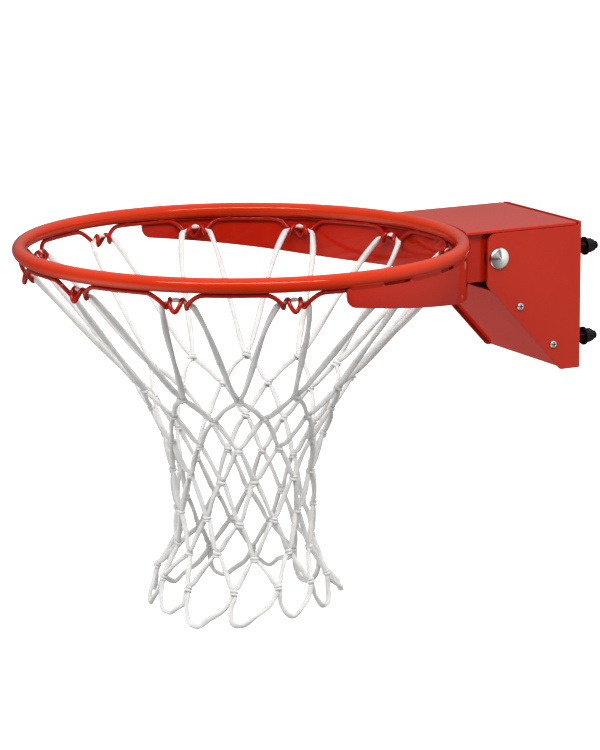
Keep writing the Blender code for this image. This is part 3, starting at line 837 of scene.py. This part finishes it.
def net_loop(soup, number, knots, wire, rng):
    """A cord from a knot up over a hook and down to the next knot."""
    middle = HOOK_STEP * (number + 0.5) + HOOK_TURN
    halves = []
    for side, target in ((-1, knots[number]), (1, knots[(number + 1) % HOOKS])):
        over = [
            np.array(tuple(around_ring(middle + side * along / RING_RADIUS, inward, drop)))
            for along, inward, drop in HOOK_RUN
        ]
        down = slope_down(target, 0)
        last = target - sideways_of(target) * side * 0.0018
        leave = over[-1]
        swing = rng.uniform(0.0025, 0.0055)
        leg = []
        for share in (0.12, 0.3, 0.5, 0.7, 0.88):
            sag = math.sin(math.pi * share**0.7)
            point = leave + (last - leave) * share
            outward = outward_of(point)
            point = point + sideways_of(point) * side * swing * sag * (1.1 - share)
            leg.append(point - outward * sag * 0.0015 + DOWN * sag * 0.003)
        halves.append(over + leg + [last - down * 0.004, last + down * 0.001])
    path = smooth_path(halves[0][::-1] + halves[1][1:], CORD_SPACING)
    radii = np.minimum(narrowed(path, TIED_RADIUS, LEG_RADIUS), room_beside(path, wire))
    radii = np.convolve(np.pad(radii, 1, mode="edge"), (0.25, 0.5, 0.25), mode="valid")
    turn = rng.uniform(0, 6)
    soup.add(*tube(path, radii, sides=14, lobes=2, depth=0.15, pitch=0.10, start_turn=turn))


def bottom_loop(soup, start, end, rng):
    """The slack loop that hangs between two knots of the last row."""
    row = len(KNOT_ROWS) - 1
    middle = (start + end) / 2
    along = sideways_of(middle)
    outward = outward_of(middle)
    radius, drop = LOOP_BOTTOM
    level = RING_CENTRE.z - drop + rng.uniform(-0.001, 0.012)
    flare = radius + rng.uniform(-0.008, 0.012)
    lowest = AXIS * LEVEL + outward * flare - DOWN * level + sway(drop)
    lowest = lowest + along * rng.uniform(-0.009, 0.009)
    first = start + along * 0.0014
    last = end - along * 0.0014
    down_first, down_last = slope_down(start, row), slope_down(end, row)
    fullness = np.linalg.norm(last - first) * rng.uniform(0.30, 0.38)
    lift = rng.uniform(0.003, 0.008)
    tip = rng.uniform(-0.003, 0.003)
    points = [
        first - down_first * 0.001,
        first + down_first * 0.0050 + along * 0.0004,
        first * 0.50 + (lowest - along * fullness) * 0.50 - along * 0.0012,
        lowest - along * fullness * 0.75 - DOWN * (lift + tip),
        lowest,
        lowest + along * fullness * 0.75 - DOWN * (lift - tip),
        last * 0.50 + (lowest + along * fullness) * 0.50 + along * 0.0012,
        last + down_last * 0.0050 - along * 0.0004,
        last - down_last * 0.001,
    ]
    lay_cord(soup, points, rng)


def net(cord, wire):
    """The net's two pieces: the loops from the hooks, and the diamond mesh below them."""
    rng = random.Random(5)
    rows = place_knots()
    upper, lower = Soup(), Soup()
    for number in range(HOOKS):
        net_loop(upper, number, rows[0], wire, rng)
    for row, (knots, below) in enumerate(zip(rows, rows[1:])):
        steps = (-1, 0) if row % 2 == 0 else (0, 1)
        for number in range(HOOKS):
            for step in steps:
                mesh_cord(lower, knots[number], below[(number + step) % HOOKS], row, rng)
    for number in range(HOOKS):
        bottom_loop(lower, rows[-1][number], rows[-1][(number + 1) % HOOKS], rng)
    for row, knots in enumerate(rows):
        for centre in knots:
            knot(lower, centre, slope_down(centre, row), 0.0036 if row == 0 else 0.0032, rng)
    for name, soup, node in (("net_loops", upper, "net_upper"), ("net_mesh", lower, "net_lower")):
        piece = add_object(name, soup.mesh(name), cord, None, [node], 80)
        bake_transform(piece)


# ---------------------------------------------------------------- fasteners and spring


def add_thread(bm, length, radius, pitch, sides, placing):
    """Adds a threaded rod, its crests on one helix. It runs up +Z from 0 before it is placed."""
    rows = int(length / pitch * 6) + 1
    chamfer = 0.0008
    loops = []
    for row in range(rows + 1):
        height = length * row / rows
        fade = min(1.0, (length - height) / pitch, height / pitch + 0.2)
        loop = []
        for k in range(sides):
            angle = 2 * math.pi * k / sides
            phase = (height / pitch - k / sides) % 1.0
            crest = 1 - abs(2 * phase - 1)
            size = radius - THREAD_DEPTH * (1 - crest) * fade
            if height > length - chamfer:
                size -= chamfer - (length - height)
            point = Vector((size * math.cos(angle), size * math.sin(angle), height))
            loop.append(bm.verts.new(placing @ point))
        loops.append(loop)
    join_loops(bm, loops)
    bm.faces.new(loops[0][::-1])
    bm.faces.new(loops[-1])


def carriage_bolt(node, surface):
    """A domed head, a square neck and a threaded shank, where the CAD bolt is."""
    low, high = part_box(node)
    x, z = (low.x + high.x) / 2, (low.z + high.z) / 2
    head_radius = (high.x - low.x) / 2
    face = -SHEET - 0.0003
    rim = 0.0010
    dome = face - low.y - rim
    shank = BOLT_SHANK_RADIUS
    profile = [
        (0, face),
        (head_radius - 0.0004, face),
        (head_radius, face - 0.0004),
        (head_radius, face - rim),
    ]
    for lift in np.linspace(0, math.pi / 2, 11)[1:-1]:
        profile.append((head_radius * math.cos(lift), face - rim - dome * math.sin(lift)))
    profile.append((0, low.y))
    bm = revolve(profile, (x, 0, z), "Y", 48)
    bmesh.ops.recalc_face_normals(bm, faces=bm.faces)
    signs = [(-1, -1), (1, -1), (1, 1), (-1, 1)]
    corners = [(x + a * shank, face - 0.0002, z + b * shank) for a, b in signs]
    base = bm.faces.new([bm.verts.new(corner) for corner in corners])
    grown = bmesh.ops.extrude_face_region(bm, geom=[base])["geom"]
    moved = [item for item in grown if isinstance(item, bmesh.types.BMVert)]
    bmesh.ops.translate(bm, verts=moved, vec=(0, BOLT_NECK_LENGTH, 0))
    start = face + BOLT_NECK_LENGTH - 0.0004
    turn = Matrix(((1, 0, 0, x), (0, 0, 1, start), (0, -1, 0, z), (0, 0, 0, 1)))
    add_thread(bm, high.y - start, shank, BOLT_THREAD_PITCH, 28, turn)
    name = node + "_threaded"
    add_object(name, as_mesh(name, bm), surface, "housing", [node], 35)


def recess_shade_crosses(surface):
    """Black crosses just under the heads of the cover's screws: painted shade standing for their cross
    recesses.
    """
    sunk, half_thickness = 0.00055, 0.0003
    half_length, half_width = 0.0024, 0.00052
    cos, sin = math.cos(0.4), math.sin(0.4)
    sides = [(i, (i + 1) % 4, (i + 1) % 4 + 4, i + 4) for i in range(4)]
    faces = [(3, 2, 1, 0), (4, 5, 6, 7)] + sides
    soup = Soup()
    for number in range(1, 5):
        low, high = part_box(f"cover_screw_{number}")
        middle = (low + high) / 2
        face = high.x - sunk if middle.x > 0 else low.x + sunk
        for a, b in ((half_length, half_width), (half_width, half_length)):
            corners = [
                (face + x, middle.y + a * y * cos - b * z * sin, middle.z + a * y * sin + b * z * cos)
                for x in (-half_thickness, half_thickness)
                for y, z in ((-1, -1), (1, -1), (1, 1), (-1, 1))
            ]
            soup.add(np.array(corners), faces, [(0, 0)] * 24)
    add_object("recess_shade_crosses", soup.mesh("recess_shade_crosses"), surface, "housing")


def pivot_bolt(surface):
    """The through bolt: a low coned head, turned bright, and a thread where its nut sits."""
    low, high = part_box("pivot_bolt")
    nut_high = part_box("pivot_nut")[1].x
    shank, head = PIVOT_SHANK_RADIUS, PIVOT_HEAD_RADIUS
    face = high.x - PIVOT_HEAD_HEIGHT
    profile = [(0, high.x), (0.0008, high.x), (0.0016, high.x - 0.00012), (0.0055, high.x - 0.0011)]
    profile += [(0.0100, high.x - 0.0024), (0.0112, high.x - 0.0030), (0.0118, high.x - 0.0037)]
    profile += [(head, face + 0.0008), (head - 0.0003, face), (shank, face), (shank, nut_high)]
    profile += [(shank - 0.0006, nut_high - 0.0006), (shank - 0.0006, nut_high - 0.002)]
    profile += [(0, nut_high - 0.002)]
    bm = revolve([(radius, -height) for radius, height in profile], (0, 0, 0), "Z", 96)
    length = nut_high - 0.001 - low.x
    placing = Matrix.Translation((0, 0, 0.001 - nut_high))
    add_thread(bm, length, shank - 0.0002, 0.0015, 36, placing)
    turn = Matrix(((0, 0, -1, 0), (0, 1, 0, PIVOT.y), (1, 0, 0, PIVOT.z), (0, 0, 0, 1)))
    bmesh.ops.transform(bm, matrix=turn, verts=bm.verts)
    name = "pivot_bolt_turned"
    add_object(name, as_mesh(name, bm), surface, "housing", ["pivot_bolt"], 30)


def hex_nut(node, body, axis, surface, insert, bore):
    """A chamfered hexagon nut, with a locking collar if it holds a nylon insert."""
    low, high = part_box(node)
    centre = (low + high) / 2
    index = "XYZ".index(axis)
    height = high[index] - low[index]
    flats = min((high - low)[i] for i in range(3) if i != index)
    outward = 1 if centre[index] > 0 or axis == "Z" else -1
    corner = flats / math.sqrt(3)
    hexagon_height = height * 0.72 if insert else height
    sides = 36
    angles = [2 * math.pi * k / sides for k in range(sides)]
    # Heights, and how much of the corners the chamfers leave there
    levels = [
        (0.0, 0.93),
        (0.0005, 0.985),
        (0.0009, 1.0),
        (hexagon_height - 0.0011, 1.0),
        (hexagon_height - 0.0005, 0.975),
        (hexagon_height, 0.91),
    ]
    bm = bmesh.new()
    loops = []
    for level, cap in levels:
        loop = []
        for angle in angles:
            across = flats / 2 / math.cos((angle + math.pi / 6) % (math.pi / 3) - math.pi / 6)
            reach = min(across, corner * cap)
            loop.append(bm.verts.new((reach * math.cos(angle), reach * math.sin(angle), level)))
        loops.append(loop)
    circles = [(bore, height), (bore, 0.0)]
    if insert:
        collar = flats * 0.47
        collar_top = [(collar, height - 0.0009), (collar - 0.0009, height)]
        circles = [(collar, hexagon_height)] + collar_top + circles
    for radius, level in circles:
        places = [(radius * math.cos(angle), radius * math.sin(angle), level) for angle in angles]
        loops.append([bm.verts.new(place) for place in places])
    join_loops(bm, loops + loops[:1])
    aim = Vector([outward if i == index else 0 for i in range(3)])
    turn = Vector((0, 0, 1)).rotation_difference(aim).to_matrix().to_4x4()
    seat = Vector(centre)
    seat[index] = low[index] if outward > 0 else high[index]
    bmesh.ops.transform(bm, matrix=Matrix.Translation(seat) @ turn, verts=bm.verts)
    name = node + "_chamfered"
    add_object(name, as_mesh(name, bm), surface, body, [node], 25)


def coil_spring(surface):
    """The compression spring with closed ends."""
    low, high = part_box("spring")
    top, foot = high.z - SPRING_WIRE, low.z + SPRING_WIRE
    closed_pitch = 2 * SPRING_WIRE + 0.0004
    open_turns = SPRING_TURNS - 2
    open_pitch = (top - foot - 2 * closed_pitch) / open_turns
    points = []
    steps = 36
    for step in range(SPRING_TURNS * steps + 1):
        turn = step / steps
        opened = min(max(turn - 1, 0), open_turns)
        drop = closed_pitch * (turn - opened) + open_pitch * opened
        angle = 2 * math.pi * turn
        x, y = SPRING_RADIUS * math.cos(angle), PIN.y + SPRING_RADIUS * math.sin(angle)
        points.append((x, y, top - drop))
    soup = Soup()
    soup.add(*tube(np.array(points), SPRING_WIRE, sides=14))
    coil = add_object("coil_spring", soup.mesh("coil_spring"), surface, "housing", ["spring"])
    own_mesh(coil)


def rest_pad(node, surface):
    """A rubber block with rounded edges."""
    low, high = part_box(node)
    size, centre = high - low, (low + high) / 2
    place = Matrix.Translation(centre) @ Matrix.Diagonal((*size, 1))
    bm = bmesh.new()
    bmesh.ops.create_cube(bm, size=1)
    bmesh.ops.transform(bm, matrix=place, verts=bm.verts)
    bmesh.ops.bevel(
        bm, geom=bm.edges[:], offset=0.0005, offset_type="OFFSET", segments=3, profile=0.5, affect="EDGES"
    )
    mesh = bpy.data.meshes.new(node)
    bm.to_mesh(mesh)
    bm.free()
    add_object(node + "_moulded", mesh, surface, "housing", [node])


# ---------------------------------------------------------------- studio


def towards(azimuth, elevation):
    """A unit vector: azimuth from -Y towards +X, elevation up from level."""
    a, e = math.radians(azimuth), math.radians(elevation)
    return Vector((math.sin(a) * math.cos(e), -math.cos(a) * math.cos(e), math.sin(e)))


def camera():
    """A long lens, a little above the ring and well to its side."""
    away = towards(CAMERA_AZIMUTH, CAMERA_ELEVATION)
    data = bpy.data.cameras.new("camera")
    data.lens = CAMERA_LENS
    data.sensor_width = 36
    data.clip_end = 100
    obj = bpy.data.objects.new("camera", data)
    obj.rotation_mode = "QUATERNION"
    obj.location = CAMERA_AIM + away * CAMERA_DISTANCE
    roll = Quaternion((0, 0, 1), math.radians(CAMERA_ROLL))
    obj.rotation_quaternion = (-away).to_track_quat("-Z", "Y") @ roll
    bpy.context.scene.collection.objects.link(obj)
    bpy.context.scene.camera = obj


def softbox(name, azimuth, elevation, distance, size, power):
    """An even lamp aimed at the goal, which no camera sees."""
    aim = Vector((0, -0.30, 0))
    data = bpy.data.lights.new(name, "AREA")
    data.shape = "RECTANGLE"
    data.size, data.size_y = size
    data.energy = power
    obj = bpy.data.objects.new(name, data)
    away = towards(azimuth, elevation)
    obj.location = aim + away * distance
    obj.rotation_mode = "QUATERNION"
    obj.rotation_quaternion = (-away).to_track_quat("-Z", "Y")
    obj.visible_camera = False
    bpy.context.scene.collection.objects.link(obj)


def backdrop():
    """A pale floor that turns up into a far wall. Only cameras see it, so it lights nothing."""
    floor, flat, bend = -2.0, 30, 8
    profile = [(0.01, floor), (5, floor), (flat, floor)]
    for angle in np.linspace(0.1, math.pi / 2, 10):
        profile.append((flat + bend * math.sin(angle), floor + bend - bend * math.cos(angle)))
    profile.append((flat + bend, 30))
    bm = revolve(profile, (0, 0, 0), "Z", 96)
    mesh = bpy.data.meshes.new("floor")
    bm.to_mesh(mesh)
    bm.free()
    mesh.shade_smooth()
    mesh.materials.append(pale_floor(5.0))
    obj = bpy.data.objects.new("floor", mesh)
    for ray in ("diffuse", "glossy", "transmission", "volume_scatter", "shadow"):
        setattr(obj, "visible_" + ray, False)
    bpy.context.scene.collection.objects.link(obj)


# Each soft light of the studio: azimuth and elevation, how tightly it gathers, and its brightness
SOFT_LIGHTS = [
    ((0, 90), 0, 0.12),
    ((0, 90), 1, 1.13),
    ((-12, -40), 6, 2.50),
    ((-100, -30), 4, 0.16),
    ((140, -5), 4, 0.95),
    ((180, 10), 2, 0.12),
]


def surroundings():
    """Soft light, broad from above and strong from low in front, and weaker from three more sides."""
    world = bpy.data.worlds.new("studio")
    bpy.context.scene.world = world
    world.use_nodes = True
    tree = world.node_tree

    def add_math(operation, value, second):
        node = tree.nodes.new("ShaderNodeMath")
        node.operation = operation
        node.inputs[1].default_value = second
        tree.links.new(value, node.inputs[0])
        return node

    coordinates = tree.nodes.new("ShaderNodeTexCoord")
    total = None
    for (azimuth, elevation), gathering, brightness in SOFT_LIGHTS:
        dot = tree.nodes.new("ShaderNodeVectorMath")
        dot.operation = "DOT_PRODUCT"
        dot.inputs[1].default_value = towards(azimuth, elevation)
        tree.links.new(coordinates.outputs["Generated"], dot.inputs[0])
        lit = add_math("MAXIMUM", dot.outputs["Value"], 0.0)
        gathered = add_math("POWER", lit.outputs[0], gathering)
        share = add_math("MULTIPLY_ADD", gathered.outputs[0], brightness)
        share.inputs[2].default_value = 0.0
        if total:
            tree.links.new(total, share.inputs[2])
        total = share.outputs[0]
    background = tree.nodes["Background"]
    background.inputs["Color"].default_value = (1, 1, 1, 1)
    tree.links.new(total, background.inputs["Strength"])


def studio():
    """The backdrop, the lights and how brightness is shown."""
    backdrop()
    surroundings()
    power = KEY_RADIANCE * math.pi * KEY_SIZE[0] * KEY_SIZE[1]
    softbox("key", KEY_AZIMUTH, KEY_ELEVATION, KEY_DISTANCE, KEY_SIZE, power)
    view = bpy.context.scene.view_settings
    view.view_transform = "Standard"
    view.gamma = VIEW_GAMMA


# ---------------------------------------------------------------- the goal


def paint_cad(surface, *nodes):
    """Gives CAD nodes that stay as they are their finished material."""
    for node in nodes:
        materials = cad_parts[node].data.materials
        materials.clear()
        materials.append(surface)


def build():
    """Puts every visual piece in place."""
    steel, zinc, black_steel = turned_steel(), zinc_plate(), black_oxide()
    # The same powder coat in six tones, each set to match how its part looked. The cover's far lighter
    # tone is painted light, standing in for light from low in front; the darker tone of the hook wire and
    # its welds is painted shade.
    orange = powder_coat("orange_ring", (0.565, 0.040, 0.0035), (0.595, 0.046, 0.0042))
    red = powder_coat("orange_arm", (0.550, 0.024, 0.0048), (0.580, 0.029, 0.0056))
    band_red = powder_coat("orange_band", (0.500, 0.021, 0.0040), (0.530, 0.025, 0.0048))
    bracket_red = powder_coat("orange_bracket", (0.525, 0.034, 0.0130), (0.555, 0.040, 0.0150))
    cover_painted_light = powder_coat("orange_cover_painted_light", (0.69, 0.032, 0.0085), (0.73, 0.038, 0.0100))
    deep = powder_coat("orange_wire_painted_shade", (0.430, 0.014, 0.0028), (0.460, 0.017, 0.0034))
    rubber = moulded("black_rubber", (0.012, 0.012, 0.012), (0.03, 0.03, 0.03), 0.8, 900)
    nylon = moulded("black_nylon", (0.020, 0.010, 0.010), (0.030, 0.016, 0.015), 0.6, 700)

    ring_bar(orange)
    band_sheet(band_red)
    welds(band_red, deep)
    wire = hook_path()
    hook_wire(wire, deep)
    softened("arm_channel", "rim", red)
    softened("mount_bracket", "housing", bracket_red)
    softened("lower_cover", "housing", cover_painted_light, width=0.0004)
    softened("spring_seat", "housing", red)
    net(braided_cord(), wire)

    for number in range(1, 5):
        carriage_bolt(f"carriage_bolt_{number}", black_steel)
        hex_nut(f"lock_nut_{number}", "housing", "Y", black_steel, True, 0.0049)
    hex_nut("pivot_nut", "housing", "X", black_steel, True, 0.0062)
    for node in ("spring_nut", "jam_nut"):
        hex_nut(node, "draw", "Z", black_steel, False, 0.0053)
    coil_spring(zinc)
    for node in ("rest_pad_left", "rest_pad_right"):
        rest_pad(node, rubber)

    for number in range(1, 5):
        softened(f"cover_screw_{number}", "housing", zinc, width=0.00015)
    # Black crosses in the screw heads: painted shade for their recesses
    recess_shade_crosses(black_steel)
    pivot_bolt(steel)
    paint_cad(zinc, "pivot_sleeve", "pivot_washer", "spring_washer")
    paint_cad(black_steel, *(f"washer_{number}" for number in range(1, 5)))
    paint_cad(steel, "lever_pin", "draw_bolt")
    paint_cad(nylon, "bushing_left", "bushing_right", "pin_spacer_left", "pin_spacer_right")


camera()
studio()
build()
